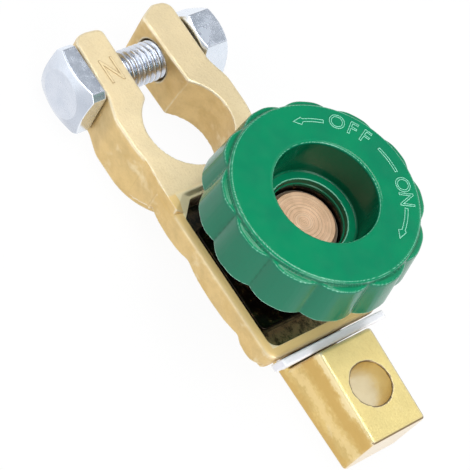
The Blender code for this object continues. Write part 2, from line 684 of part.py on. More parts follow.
def make_contact_nut(parts, cutters, spindle, brass, steel):
    groove = NECK_RADIUS - RING_GROOVE_DEPTH
    flange_radius, neck, bore = FLANGE_RADIUS, NECK_RADIUS, INSERT_BORE
    nut = turned("contact_nut", [
        (0, FLANGE_TOP_Z), (flange_radius - 0.3 * MM, FLANGE_TOP_Z),
        (flange_radius, FLANGE_TOP_Z - 0.3 * MM), (flange_radius, FLANGE_BASE_Z),
        (neck, FLANGE_BASE_Z), (neck, GROOVE_TOP_Z), (groove, GROOVE_TOP_Z), (groove, GROOVE_BASE_Z),
        (neck, GROOVE_BASE_Z), (neck, PLATE_BASE_Z), (0, PLATE_BASE_Z)], parts)
    corner = INSERT_ACROSS / 2 / math.cos(math.pi / 6)
    insert = prism("insert_form", corner, FLANGE_TOP_Z - 0.5 * MM, INSERT_TOP_Z, cutters, sides=6)
    insert_bore = prism("insert_bore_cutter", bore, PLATE_BASE_Z - 1.0 * MM, INSERT_TOP_Z + 1.0 * MM,
                        cutters)
    boolean(nut, insert, "UNION")
    boolean(nut, insert_bore)
    insert.parent = spindle
    insert_bore.parent = spindle
    finish(nut, spindle, brass)

    low = GROOVE_BASE_Z + GAP
    high = low + RETAINER_THICKNESS
    inner = groove + GAP
    outer = inner + RETAINER_WIDTH
    ring = turned("retaining_ring", [(outer, high), (outer, low), (inner, low), (inner, high)], parts,
                  closed=True)
    finish(ring, spindle, steel)


def lobe_outline(inset=0.0):
    """Knob's plan: broad lobes with narrow rounded valleys between them."""
    per_lobe = 12
    pitch = 2 * math.pi / LOBES
    points = []
    for k in range(LOBES * per_lobe):
        from_valley = (k % per_lobe) / per_lobe * pitch
        distance = min(from_valley, pitch - from_valley)
        dip = 0.0
        if distance < VALLEY_HALF_ANGLE:
            dip = VALLEY_DEPTH * (1 - distance / VALLEY_HALF_ANGLE) ** VALLEY_SHARPNESS
        angle = VALLEY_PHASE + k / per_lobe * pitch
        radius = LOBE_RADIUS - dip - inset
        points.append((radius * math.cos(angle), radius * math.sin(angle)))
    return points


def core_outlines():
    """Sector pockets that core the knob from below, with a rib behind each valley."""
    inner = max(WELL_RADIUS, HUB_RADIUS) + KNOB_SKIN * 0.6
    outer = LOBE_RADIUS - VALLEY_DEPTH - KNOB_SKIN
    pitch = 2 * math.pi / LOBES
    steps = 4
    outlines = []
    for k in range(LOBES):
        start = VALLEY_PHASE + k * pitch
        points = []
        for radius, direction in ((outer, 1), (inner, -1)):
            rib = RIB_THICKNESS / 2 / radius
            low, high = start + rib, start + pitch - rib
            if direction < 0:
                low, high = high, low
            for i in range(steps + 1):
                angle = low + (high - low) * i / steps
                points.append((radius * math.cos(angle), radius * math.sin(angle)))
        outlines.append(points)
    return outlines


def make_knob(parts, cutters, spindle, green):
    lobe_top = KNOB_TOP_Z - FACE_RISE
    knob = loft_solid("knob", [(KNOB_BASE_Z, lobe_outline()), (lobe_top, lobe_outline(KNOB_DRAFT))], parts)
    round_levels(knob, {lobe_top: 1.0, KNOB_BASE_Z: 0.3}, KNOB_EDGE, 3)
    face_foot = lobe_top - KNOB_SKIN / 2
    face = turned("face_form", [(0, KNOB_TOP_Z), (FACE_RADIUS - FACE_EDGE, KNOB_TOP_Z),
                                (FACE_RADIUS, KNOB_TOP_Z - FACE_EDGE), (FACE_RADIUS, face_foot),
                                (0, face_foot)], cutters, steps=96)
    hub = prism("hub_form", HUB_RADIUS, HUB_BASE_Z, KNOB_BASE_Z + WEB_THICKNESS / 2, cutters)
    boolean(knob, face, "UNION")
    boolean(knob, hub, "UNION")
    over = 1.0 * MM
    brim = WELL_RADIUS + WELL_EDGE
    floor = KNOB_BASE_Z + WEB_THICKNESS
    well = turned("well_cutter", [
        (0, KNOB_TOP_Z + over), (brim, KNOB_TOP_Z + over), (brim, KNOB_TOP_Z),
        (WELL_RADIUS + WELL_EDGE * 0.3, KNOB_TOP_Z - WELL_EDGE * 0.3), (WELL_RADIUS, KNOB_TOP_Z - WELL_EDGE),
        (WELL_FLOOR_RADIUS, floor), (0, floor)], cutters, steps=72)
    slope = (WEB_HOLE_RADIUS - INSERT_BORE - WEB_HOLE_FOOT) / WEB_THICKNESS
    web_hole = turned("web_hole_cutter", [
        (0, floor + over), (WEB_HOLE_RADIUS + slope * over, floor + over),
        (WEB_HOLE_RADIUS - slope * (WEB_THICKNESS + over), KNOB_BASE_Z - over), (0, KNOB_BASE_Z - over)],
        cutters)
    socket_corner = HUB_SOCKET_ACROSS / 2 / math.cos(math.pi / 6)
    socket = prism("socket_cutter", socket_corner, HUB_BASE_Z - over, KNOB_BASE_Z, cutters, sides=6)
    core = outlines_solid("core_cutter", core_outlines(), KNOB_BASE_Z - over,
                         lobe_top - KNOB_SKIN, cutters)
    for tool in (well, web_hole, socket, core):
        boolean(knob, tool)
    for tool in (face, hub, well, web_hole, socket, core):
        tool.parent = spindle
    finish(knob, spindle, green)


def empty(name, location, parent, where):
    made = bpy.data.objects.new(name, None)
    where.objects.link(made)
    made.location = location
    made.parent = parent
    made.empty_display_size = 5 * MM
    return made


def main():
    clear_scene()
    parts = collection("battery_disconnect_switch")
    cutters = collection("cutters")
    centre_x = (EAR_TIP_X + LUG_END_X) / 2
    centre_y = (min(HEAD_END_Y, -LOBE_RADIUS) + max(NUT_END_Y, LOBE_RADIUS)) / 2
    frame = empty("switch_frame", (-centre_x, -centre_y, 0.0), None, parts)
    carrier = empty("contact_lift_axis", (0, 0, 0), frame, parts)
    spindle = empty("knob_turn_axis", (0, 0, 0), carrier, parts)

    brass = material("brass_casting", (0.83, 0.66, 0.36), 0.32, 1.0)
    steel = material("bright_steel", (0.75, 0.77, 0.80), 0.15, 1.0)
    white = material("white_plastic", (0.85, 0.85, 0.88), 0.40)
    copper = material("turned_copper", (0.72, 0.45, 0.34), 0.35, 1.0)
    green = material("green_plastic", (0.0, 0.29, 0.15), 0.25)

    make_clamp_body(parts, cutters, frame, brass)
    make_clamp_fasteners(parts, cutters, frame, steel)
    make_lug(parts, cutters, frame, brass)
    make_insulator(parts, cutters, frame, white)
    make_stud(parts, frame, copper)
    make_rivets(parts, frame, steel, white)
    make_contact_plate(parts, cutters, carrier, copper)
    make_contact_nut(parts, cutters, spindle, brass, steel)
    make_knob(parts, cutters, spindle, green)


main()
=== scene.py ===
# Battery disconnect switch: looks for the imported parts. Row frame, metres, +Z up.

import math

import bmesh
import bpy
import numpy as np
from mathutils import Matrix, Vector

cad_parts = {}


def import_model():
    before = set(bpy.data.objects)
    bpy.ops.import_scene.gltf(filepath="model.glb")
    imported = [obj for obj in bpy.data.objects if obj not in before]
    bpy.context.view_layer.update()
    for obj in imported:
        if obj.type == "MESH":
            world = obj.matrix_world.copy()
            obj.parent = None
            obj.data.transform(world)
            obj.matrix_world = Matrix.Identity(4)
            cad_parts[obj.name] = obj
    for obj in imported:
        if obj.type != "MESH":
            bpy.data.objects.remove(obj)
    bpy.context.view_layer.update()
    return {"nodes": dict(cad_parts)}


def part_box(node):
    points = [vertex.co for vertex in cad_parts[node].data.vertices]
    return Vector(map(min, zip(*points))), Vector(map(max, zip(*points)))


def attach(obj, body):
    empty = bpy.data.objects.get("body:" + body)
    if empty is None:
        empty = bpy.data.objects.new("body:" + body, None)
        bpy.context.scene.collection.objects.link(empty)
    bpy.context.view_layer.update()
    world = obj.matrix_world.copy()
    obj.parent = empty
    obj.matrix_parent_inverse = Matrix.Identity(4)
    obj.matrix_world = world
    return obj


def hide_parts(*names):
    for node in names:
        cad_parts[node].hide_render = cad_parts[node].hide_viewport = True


MM = 0.001
X_AXIS, Y_AXIS, Z_AXIS = 0, 1, 2

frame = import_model()
nodes = frame["nodes"]

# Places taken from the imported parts
knob_low, knob_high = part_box("knob")
KNOB_X = (knob_low.x + knob_high.x) / 2
KNOB_TOP = knob_high.z
bolt_low, bolt_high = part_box("clamp_bolt")
BOLT_X = (bolt_low.x + bolt_high.x) / 2
BOLT_Z = (bolt_low.z + bolt_high.z) / 2
HEAD_ACROSS = bolt_high.x - bolt_low.x
BOLT_END_Y = bolt_high.y
HEAD_END_Y = bolt_low.y
EAR_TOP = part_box("clamp_body")[1].z
NUT_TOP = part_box("contact_nut")[1].z
STUD_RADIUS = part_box("contact_stud")[1].x - KNOB_X
lug_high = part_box("terminal_lug")[1]
LUG_END = lug_high.x
LUG_SIDE = lug_high.y

# Sizes that the boxes don't give
HEAD_THICKNESS = 4.4 * MM
HEAD_FLAT_RADIUS = 4.9 * MM
HEAD_CORNER_RADIUS = 8.3 * MM
HEAD_CHAMFER = math.radians(24)
HEAD_VOXEL = 0.12 * MM
THREAD_RADIUS = 4.0 * MM
THREAD_SLACK = 0.03 * MM
THREAD_DEPTH = 0.62 * MM
THREAD_PITCH = 1.25 * MM
THREAD_START = 0.4 * MM
THREAD_VOXEL = 0.3 * MM
TIP_TAPER_LENGTH = 0.9 * MM
TIP_TAPER_DEPTH = 0.5 * MM
CABLE_HOLE_X = KNOB_X + 29.232 * MM
CABLE_HOLE_RADIUS = 4.2 * MM
WELL_RADIUS = 10.0 * MM
LINING_INNER = STUD_RADIUS + 0.28 * MM
LINING_OUTER = STUD_RADIUS + 0.85 * MM
CIRCLE_STEPS = 96

# Limits of the casting's pocket, painted dark as the shadow under the knob with painted reflections
# towards the front, of its rim, painted brighter against that shadow, and of the painted highlight
# line round the pocket
POCKET_SIDE = 11.8 * MM
POCKET_REAR = -8.9 * MM
POCKET_FRONT = 23.5 * MM
POCKET_LOW = 6.3 * MM
POCKET_HIGH = 10.2 * MM
REFLECTION_FRONT = 18.0 * MM
RIM_REAR = -10.2 * MM
RIM_LOW = 10.6 * MM
LINE_SIDE = 11.6 * MM
LINE_FRONT = 23.25 * MM

# Marks
LETTER_RADIUS = 15.1 * MM
LETTER_SIZE = 4.0 * MM
MARK_RISE = 0.10 * MM
MARK_BEAD = 0.085 * MM
POLARITY_SIZE = 7.6 * MM
POLARITY_WIDTH = 0.62
POLARITY_PLACE = (KNOB_X - 45.4 * MM, -7.95 * MM, EAR_TOP)

# Colours. The top and side colours of the brass, and the main and wall colours of the plastics, are
# lit and shaded copies of one colour: painted light and shade. The ridge colours are painted
# highlights, and the brass colours for hollows are painted shade.
CASTING = {"top": (0.92, 0.755, 0.455), "side": (0.82, 0.59, 0.255), "ridge_glint": (1.0, 0.92, 0.72),
           "crease_shade": (0.30, 0.18, 0.07)}
LUG = {"top": (0.90, 0.735, 0.30), "side": (0.82, 0.59, 0.21), "ridge_glint": (1.0, 0.95, 0.78),
       "crease_shade": (0.30, 0.18, 0.06)}
KNOB = {"main": (0.0, 0.245, 0.103), "wall": (0.003, 0.185, 0.095), "ridge_glint": (0.28, 0.72, 0.52)}
INSULATOR = {"main": (0.98, 0.97, 1.0), "wall": (0.96, 0.95, 1.0), "ridge_glint": (1.0, 1.0, 1.0)}
# Pale brass of painted highlights: the sheen patches on the brass and the bright line round the pocket
BRASS_SHEEN = (1.0, 0.86, 0.56)
PATCH_TINT = (0.80, 0.72, 0.52)
# Nearly black of the painted shadow in the casting's pocket
POCKET_SHADOW = (0.012, 0.008, 0.004)
# Dark brown of painted shade lines along edges of the lug
OUTLINE_BROWN = (0.16, 0.09, 0.035)


# Mesh helpers
def new_object(name, data):
    """Object of a mesh, curve, lamp or camera, linked to the scene."""
    made = bpy.data.objects.new(name, data)
    bpy.context.scene.collection.objects.link(made)
    return made


def evaluated_mesh(obj):
    """Mesh of an object with its modifiers or its curve's thickness applied."""
    bpy.context.view_layer.update()
    depsgraph = bpy.context.evaluated_depsgraph_get()
    return bpy.data.meshes.new_from_object(obj.evaluated_get(depsgraph))


def baked(obj):
    """Replace an object's mesh by the result of its modifiers."""
    mesh = evaluated_mesh(obj)
    mesh.name = obj.name
    obj.modifiers.clear()
    obj.data = mesh
    return obj


def soften(obj, voxel, passes):
    """Even out a closed solid so that its edges are soft, then mark its ridges and hollows."""
    remesh = obj.modifiers.new("even", "REMESH")
    remesh.mode = "VOXEL"
    remesh.voxel_size = voxel
    soft = obj.modifiers.new("soft", "SMOOTH")
    soft.factor = 0.5
    soft.iterations = passes
    baked(obj)
    mark_edges(obj.data, voxel)
    obj.data.shade_smooth()
    return obj


def mark_edges(mesh, voxel):
    """Write how ridged and how hollow each vertex is, for painted highlights on ridges and painted
    shade in hollows.
    """
    ignored_bend = 0.02
    gain = 12.0
    count = len(mesh.vertices)
    places = np.zeros(count * 3)
    normals = np.zeros(count * 3)
    mesh.vertices.foreach_get("co", places)
    mesh.vertices.foreach_get("normal", normals)
    places = places.reshape(-1, 3)
    normals = normals.reshape(-1, 3)
    ends = np.zeros(len(mesh.edges) * 2, int)
    mesh.edges.foreach_get("vertices", ends)
    ends = ends.reshape(-1, 2)
    both = np.concatenate((ends, ends[:, ::-1]))
    degree = np.bincount(both[:, 0], minlength=count).clip(1)

    def spread(values):
        return np.bincount(both[:, 0], weights=values[both[:, 1]], minlength=count) / degree

    mean = np.stack([spread(places[:, i]) for i in range(3)], axis=1)
    bend = ((mean - places) * normals).sum(axis=1) / voxel
    bend = 0.5 * bend + 0.5 * spread(bend)
    for name, values in (("ridge", -bend), ("hollow_shade", bend)):
        layer = mesh.attributes.new(name, "FLOAT", "POINT")
        shares = np.clip((values - ignored_bend) * gain, 0, 1)
        layer.data.foreach_set("value", shares.astype(np.float32))


def copy_of(node, name):
    """A closed working copy of a CAD node's mesh."""
    work = bmesh.new()
    work.from_mesh(nodes[node].data)
    bmesh.ops.remove_doubles(work, verts=work.verts, dist=1e-6)
    mesh = bpy.data.meshes.new(name)
    work.to_mesh(mesh)
    work.free()
    return new_object(name, mesh)


def soft_copy(node, body, voxel, passes):
    """Soft-edged copy that replaces a CAD node."""
    made = soften(copy_of(node, node + "_soft"), voxel, passes)
    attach(made, body)
    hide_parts(node)
    return made


def finished(work, name):
    """New object from a working mesh, with its faces turned outwards."""
    bmesh.ops.recalc_face_normals(work, faces=work.faces)
    mesh = bpy.data.meshes.new(name)
    work.to_mesh(mesh)
    work.free()
    return new_object(name, mesh)


def circle(work, radius, height):
    """Vertices on a circle round Z."""
    angles = [2 * math.pi * i / CIRCLE_STEPS for i in range(CIRCLE_STEPS)]
    return [work.verts.new((radius * math.cos(a), radius * math.sin(a), height)) for a in angles]


def bridge(work, lower, upper):
    """Faces between two closed rows of vertices."""
    for i in range(len(lower)):
        j = (i + 1) % len(lower)
        work.faces.new((lower[i], lower[j], upper[j], upper[i]))


def prism(name, outline, low, high):
    """Upright solid of a closed outline."""
    work = bmesh.new()
    lower = [work.verts.new((x, y, low)) for x, y in outline]
    upper = [work.verts.new((x, y, high)) for x, y in outline]
    work.faces.new(list(reversed(lower)))
    work.faces.new(upper)
    bridge(work, lower, upper)
    return finished(work, name)


def turned_solid(name, profile):
    """Solid turned about Z from (radius, height) points, the first and the last on the axis."""
    work = bmesh.new()
    bottom = work.verts.new((0, 0, profile[0][1]))
    top = work.verts.new((0, 0, profile[-1][1]))
    rings = [circle(work, radius, height) for radius, height in profile[1:-1]]
    for i in range(CIRCLE_STEPS):
        j = (i + 1) % CIRCLE_STEPS
        work.faces.new((bottom, rings[0][j], rings[0][i]))
        work.faces.new((top, rings[-1][i], rings[-1][j]))
    for lower, upper in zip(rings[:-1], rings[1:]):
        bridge(work, lower, upper)
    return finished(work, name)


def turned_ring(name, profile):
    """Ring turned about Z from a closed profile of (radius, height) points."""
    work = bmesh.new()
    rings = [circle(work, radius, height) for radius, height in profile]
    for lower, upper in zip(rings, rings[1:] + rings[:1]):
        bridge(work, lower, upper)
    return finished(work, name)


# Material helpers
class Look:
    """A material with short ways to add and join nodes."""

    def __init__(self, name):
        self.material = bpy.data.materials.new(name)
        self.material.use_nodes = True
        self.tree = self.material.node_tree
        self.shader = self.tree.nodes["Principled BSDF"]
        self.place = self.add("ShaderNodeTexCoord").outputs["Object"]

    def feed(self, socket, value):
        """Link an input to another node's output, or give it a plain value."""
        if isinstance(value, bpy.types.NodeSocket):
            self.tree.links.new(value, socket)
        else:
            socket.default_value = value

    def add(self, kind, inputs=(), **settings):
        made = self.tree.nodes.new(kind)
        for key, value in settings.items():
            setattr(made, key, value)
        for key, value in dict(inputs).items():
            self.feed(made.inputs[key], value)
        return made

    def set(self, **values):
        """Feed the shader's inputs, named with underscores for spaces."""
        for key, value in values.items():
            self.feed(self.shader.inputs[key.replace("_", " ")], value)

    def noise(self, scale, detail=3.0, rough=0.55, where=None, stretch=None):
        place = where or self.place
        if stretch:
            place = self.add("ShaderNodeMapping", {"Vector": place, "Scale": stretch}).outputs[0]
        inputs = {"Vector": place, "Scale": scale, "Detail": detail, "Roughness": rough}
        return self.add("ShaderNodeTexNoise", inputs).outputs["Fac"]

    def ramp(self, value, low, high, out_low=0.0, out_high=1.0):
        """Smooth change from out_low to out_high as a value goes from low to high."""
        made = self.add("ShaderNodeMapRange", {"Value": value, "From Min": low, "From Max": high,
                                               "To Min": out_low, "To Max": out_high})
        made.interpolation_type = "SMOOTHSTEP"
        return made.outputs[0]

    def step(self, value, place, blur):
        """0 to 1 as a value passes a place, or 1 to 0 where the blur is negative."""
        return self.ramp(value, place - blur / 2, place + blur / 2)

    def math(self, operation, a, b=0.0):
        return self.add("ShaderNodeMath", {0: a, 1: b}, operation=operation).outputs[0]

    def both(self, a, b):
        return self.math("MULTIPLY", a, b)

    def either(self, a, b):
        return self.math("MAXIMUM", a, b)

    def mix(self, share, a, b):
        """Mix of two colours, either of which may come from a node."""
        made = self.add("ShaderNodeMix", {"Factor": share}, data_type="RGBA")
        for socket, value in ((made.inputs[6], a), (made.inputs[7], b)):
            self.feed(socket, value if isinstance(value, bpy.types.NodeSocket) else (*value, 1.0))
        return made.outputs[2]

    def blend(self, share, a, b):
        """Mix of two plain values, either of which may come from a node."""
        a, b = [part if isinstance(part, bpy.types.NodeSocket) else (part,) * 3 for part in (a, b)]
        return self.mix(share, a, b)

    def attribute(self, name):
        return self.add("ShaderNodeAttribute", attribute_name=name).outputs["Fac"]

    def facing(self, axis, low, high):
        """0 to 1 as faces turn towards an axis."""
        normal = self.add("ShaderNodeNewGeometry").outputs["Normal"]
        return self.ramp(self.add("ShaderNodeSeparateXYZ", {0: normal}).outputs[axis], low, high)

    def axes(self):
        return self.add("ShaderNodeSeparateXYZ", {0: self.place}).outputs

    def from_axis(self, centre_x):
        """Distance from an upright axis on y = 0."""
        x, y, _ = self.axes()
        across = self.math("SUBTRACT", x, centre_x)
        return self.math("SQRT", self.math("ADD", self.both(across, across), self.both(y, y)))

    def bump(self, height, distance, strength, below=None):
        inputs = {"Height": height, "Distance": distance, "Strength": strength}
        if below is not None:
            inputs["Normal"] = below
        return self.add("ShaderNodeBump", inputs).outputs[0]


def shade(colour, factor):
    """Darker or lighter colour."""
    return [min(1.0, part * factor) for part in colour]


# Materials
def brass_look(name, top, side, ridge_glint, crease_shade, metal, rough, grain):
    """Brass with cloudy colour and grain; faces turned up are painted paler and the others darker as
    light and shade, ridges get a painted highlight and hollows painted shade.
    """
    look = Look(name)
    cloud = look.ramp(look.noise(210, 4, 0.6), 0.35, 0.7)
    speck = look.noise(2600, 2, 0.7)
    up = look.facing(Z_AXIS, 0.25, 0.9)
    # Lit and shaded copies of one brass: the top colour on faces turned up, the side colour on the
    # rest
    light = look.mix(up, side, top)
    deep = look.mix(up, shade(side, 0.86), shade(top, 0.90))
    colour = look.mix(cloud, light, deep)
    patch = look.ramp(look.noise(140, 4, 0.65), 0.48, 0.66)
    patch = look.both(patch, look.ramp(up, 0.0, 1.0, 0.42, 0.08))
    colour = look.mix(patch, colour, [part * tint for part, tint in zip(side, PATCH_TINT)])
    # Painted sheen: pale patches, mostly on the sides, that stand for highlights
    sheen = look.ramp(look.noise(170, 3, 0.6), 0.56, 0.70)
    sheen = look.both(sheen, look.ramp(up, 0.0, 1.0, 0.5, 0.15))
    colour = look.mix(sheen, colour, BRASS_SHEEN)
    colour = look.mix(look.ramp(speck, 0.45, 0.75, 0.0, 0.22), colour, shade(side, 0.72))
    # Painted highlight along ridges
    colour = look.mix(look.both(look.attribute("ridge"), 0.75), colour, ridge_glint)
    # Painted shade in hollows, a little patchy
    crease_share = look.both(look.attribute("hollow_shade"), look.ramp(cloud, 0.0, 1.0, 0.6, 0.9))
    colour = look.mix(crease_share, colour, crease_shade)
    roughness = look.ramp(look.noise(420, 3), 0.3, 0.7, rough - 0.05, rough + 0.06)
    normal = look.bump(look.noise(300, 3), 0.20 * MM, 0.2)
    normal = look.bump(speck, 0.10 * MM, grain, normal)
    shine = look.ramp(up, 0.0, 1.0, metal + 0.2, metal)
    look.set(Base_Color=colour, Metallic=shine, Roughness=roughness, Normal=normal)
    return look, colour, roughness, shine


def casting_look():
    """Blasted brass casting whose sunk pocket is glossy and painted dark as shadow with painted
    reflections, whose rim top is painted brighter against the knob's shadow, and with a painted
    highlight line round the pocket.
    """
    look, colour, roughness, shine = brass_look("cast_brass", **CASTING, metal=0.4, rough=0.42,
                                                grain=0.35)
    x, y, z = look.axes()
    sideways = look.math("ABSOLUTE", y)
    pocket = look.step(sideways, POCKET_SIDE, -0.1 * MM)
    for value, place, blur in ((z, POCKET_HIGH, -0.4 * MM), (z, POCKET_LOW, 0.6 * MM),
                               (x, POCKET_REAR, 0.2 * MM), (x, POCKET_FRONT, -0.2 * MM)):
        pocket = look.both(pocket, look.step(value, place, blur))
    # Painted shadow in the pocket, nearly black at the rear and brown towards the front, with mottles
    # of brown and gold as painted reflections of the front wall and a lighter brown on the rear wall
    # as painted shade
    front = look.step(x, REFLECTION_FRONT, 2.0 * MM)
    mottle = look.math("ADD", look.noise(620, 5, 0.75), look.ramp(front, 0, 1, 0, 0.07))
    mottle = look.ramp(mottle, 0.42, 0.66)
    front_reflection = look.mix(front, (0.10, 0.060, 0.026), (0.80, 0.56, 0.27))
    dark = look.mix(mottle, look.mix(front, POCKET_SHADOW, (0.19, 0.12, 0.055)), front_reflection)
    rear_wall = look.mix(mottle, (0.20, 0.13, 0.07), (0.62, 0.45, 0.28))
    dark = look.mix(look.facing(X_AXIS, 0.4, 0.8), dark, rear_wall)

    # Rim top painted a brighter gold, without metal gloss or specular, against the shadow of the knob
    # above it
    rim = look.both(look.step(z, RIM_LOW, 0.4 * MM), look.step(x, RIM_REAR, 0.8 * MM))
    # Painted highlight: a bright line along the pocket's edge
    line = look.math("MINIMUM", look.step(sideways, LINE_SIDE, -0.1 * MM),
                     look.step(x, LINE_FRONT, -0.1 * MM))
    line = look.both(rim, line)
    rim = look.both(rim, look.facing(Z_AXIS, 0.3, 0.8))
    colour = look.mix(rim, colour, (1.0, 0.72, 0.31))
    colour = look.mix(look.both(line, 0.9), colour, BRASS_SHEEN)
    look.set(Metallic=look.blend(rim, shine, 0.0), Specular_IOR_Level=look.blend(rim, 0.5, 0.0),
             Base_Color=look.mix(pocket, colour, dark), Roughness=look.blend(pocket, roughness, 0.30))
    return look.material


def milled_look():
    """Drawn brass of the lug, with fine lines along it, bands of painted light and shade on its long
    sides, a painted pale end, a painted glow deep in the cable hole and painted dark lines along some
    edges.
    """
    look, colour, _, shine = brass_look("milled_brass", **LUG, metal=0.45, rough=0.36, grain=0.3)
    x, y, z = look.axes()
    lines = look.noise(1500, 2, 0.6, stretch=(0.06, 1.0, 1.0))
    colour = look.mix(look.ramp(lines, 0.5, 0.8, 0.0, 0.16), colour, (0.70, 0.48, 0.16))

    # Painted light and shade on the long sides: bands by height, darker high up and at the bottom,
    # lighter in the middle and at the top, stand for the shading of a rounded face; noise frays their
    # edges
    height = look.math("ADD", z, look.ramp(look.noise(120, 2), 0.3, 0.7, -0.8 * MM, 0.8 * MM))
    fray = look.ramp(look.noise(800, 4, 0.7), 0.3, 0.7, -0.7 * MM, 0.7 * MM)
    height = look.math("ADD", height, fray)
    long_side = look.either(look.facing(Y_AXIS, -0.5, -0.8), look.facing(Y_AXIS, 0.5, 0.8))
    upper = look.both(look.step(height, 7.4 * MM, 2.0 * MM), look.step(height, 11.2 * MM, -2.0 * MM))
    lower = look.step(height, 2.3 * MM, -1.8 * MM)
    middle = look.both(look.step(height, 3.9 * MM, 1.0 * MM), look.step(height, 6.2 * MM, -1.2 * MM))
    top = look.step(height, 12.1 * MM, 1.4 * MM)
    for band, share, tone in ((upper, 0.9, (0.66, 0.42, 0.11)), (lower, 0.6, (0.64, 0.40, 0.10)),
                              (middle, 0.5, (1.0, 0.78, 0.38)), (top, 0.8, (1.0, 0.84, 0.48))):
        colour = look.mix(look.both(look.both(band, long_side), share), colour, tone)
    # Painted light: the end face, turned to +X, is painted pale cream as a brightly lit face
    end = look.both(look.facing(X_AXIS, 0.6, 0.85), look.step(x, LUG_END - 1.7 * MM, 0.6 * MM))
    colour = look.mix(end, colour, (0.92, 0.80, 0.62))

    radius = look.from_axis(CABLE_HOLE_X)
    hole = look.step(radius, CABLE_HOLE_RADIUS + 0.08 * MM, -0.08 * MM)
    # Painted light: the cable hole's wall turns pale cream further down, as light from below, and is
    # golden near the top
    depth = look.math("ADD", height, look.both(look.math("SUBTRACT", x, CABLE_HOLE_X), 0.6))
    wall = look.mix(look.ramp(depth, 11 * MM, 6 * MM), (0.81, 0.62, 0.26), (0.86, 0.74, 0.48))
    colour = look.mix(hole, colour, wall)
    look.set(Metallic=look.blend(hole, shine, 0.95))

    # Painted shade: thin dark brown lines round the cable hole's rim and along the far and end edges
    # where they turn down
    ridge = look.attribute("ridge")
    rim = look.both(look.step(radius, CABLE_HOLE_RADIUS + 0.36 * MM, -0.12 * MM),
                    look.both(look.ramp(ridge, 0.25, 0.6), look.ramp(ridge, 0.2, 0.5)))
    far_edge = look.either(look.step(y, LUG_SIDE - 0.56 * MM, 0.12 * MM),
                           look.step(x, LUG_END - 0.56 * MM, 0.12 * MM))
    turning = look.both(look.facing(Z_AXIS, 0.35, 0.55), look.facing(Z_AXIS, 0.93, 0.82))
    outline = look.either(rim, look.both(far_edge, turning))
    look.set(Base_Color=look.mix(look.both(outline, 0.85), colour, OUTLINE_BROWN))
    return look.material


def plated_look():
    """Bright zinc plating with faint blue patches and fine scratches, less metallic in the thread;
    faces turned up or towards +X on the head and the nut are painted lighter as lit faces, the head's
    chamfer carries a painted dark reflection, ridges a painted highlight and hollows painted shade.
    """
    look = Look("plated_steel")
    cloud = look.ramp(look.noise(240, 3, 0.6), 0.35, 0.7)
    colour = look.mix(cloud, (0.72, 0.76, 0.84), (0.63, 0.68, 0.77))
    # Painted light: faces turned up or towards +X, on the head and the nut, get a lighter colour
    lit_faces = look.either(look.facing(Z_AXIS, 0.1, 0.6), look.facing(X_AXIS, 0.2, 0.7))
    sideways = look.math("ABSOLUTE", look.axes()[Y_AXIS])
    lit_faces = look.both(lit_faces, look.step(sideways, 12.0 * MM, 4.0 * MM))
    colour = look.mix(lit_faces, colour, look.mix(cloud, (0.85, 0.91, 1.0), (0.80, 0.87, 0.96)))
    # Painted shade: a darker reflection on the head's chamfer turned towards +X
    chamfer = look.both(look.facing(X_AXIS, 0.10, 0.26), look.facing(Y_AXIS, -0.70, -0.85))
    colour = look.mix(look.both(chamfer, 0.45), colour, (0.42, 0.46, 0.54))
    scratch = look.ramp(look.noise(900, 3, 0.7, stretch=(1.0, 0.10, 0.3)), 0.5, 0.7, 0.0, 0.30)
    scratch = look.both(scratch, look.facing(Z_AXIS, 0.7, 0.95))
    colour = look.mix(scratch, colour, (0.66, 0.74, 0.86))
    # Painted highlight on ridges and painted shade in hollows such as the thread's roots
    colour = look.mix(look.both(look.attribute("ridge"), 0.5), colour, (0.95, 0.97, 1.0))
    colour = look.mix(look.both(look.attribute("hollow_shade"), 0.92), colour, (0.07, 0.08, 0.10))
    roughness = look.ramp(look.noise(500, 3), 0.3, 0.7, 0.20, 0.30)
    normal = look.bump(look.noise(200, 2), 0.15 * MM, 0.05)
    normal = look.bump(look.noise(3000, 2), 0.04 * MM, 0.12, normal)
    look.set(Base_Color=colour, Metallic=look.blend(lit_faces, 1.0, 0.82), Roughness=roughness,
             Normal=normal)
    return look.material


def rivet_look():
    """Plain steel of the rivets and the retaining ring."""
    look = Look("rivet_steel")
    cloud = look.ramp(look.noise(500, 3, 0.6), 0.35, 0.7)
    colour = look.mix(cloud, (0.55, 0.55, 0.57), (0.35, 0.35, 0.36))
    normal = look.bump(look.noise(1800, 2), 0.08 * MM, 0.3)
    look.set(Base_Color=colour, Metallic=1.0, Roughness=look.ramp(cloud, 0, 1, 0.3, 0.45),
             Normal=normal)
    return look.material


def plastic_look(name, main, wall, ridge_glint, rough, grain):
    """Moulded plastic with slight cloudiness and a fine moulded grain; its walls are painted in a
    shaded colour, its ridges with a painted highlight and its hollows with painted shade.
    """
    look = Look(name)
    cloud = look.ramp(look.noise(110, 3, 0.6), 0.35, 0.7, 0.0, 0.5)
    # Painted light and shade: faces turned up take the main colour, walls the darker wall colour
    colour = look.mix(look.facing(Z_AXIS, 0.3, 0.8), wall, main)
    colour = look.mix(cloud, colour, shade(wall, 0.94))
    # Painted highlight along ridges
    ridge_glint_share = look.ramp(look.attribute("ridge"), 0.25, 0.7)
    colour = look.mix(look.both(ridge_glint_share, 0.85), colour, ridge_glint)
    # Painted shade in hollows
    colour = look.mix(look.both(look.attribute("hollow_shade"), 0.7), colour, shade(main, 0.3))
    roughness = look.ramp(look.noise(380, 4), 0.3, 0.7, rough - 0.04, rough + 0.06)
    normal = look.bump(look.noise(220, 2), 0.30 * MM, 0.12)
    normal = look.bump(look.noise(2400, 2), 0.06 * MM, grain, normal)
    look.set(Base_Color=colour, Roughness=roughness, Normal=normal, Specular_IOR_Level=0.35)
    return look, colour


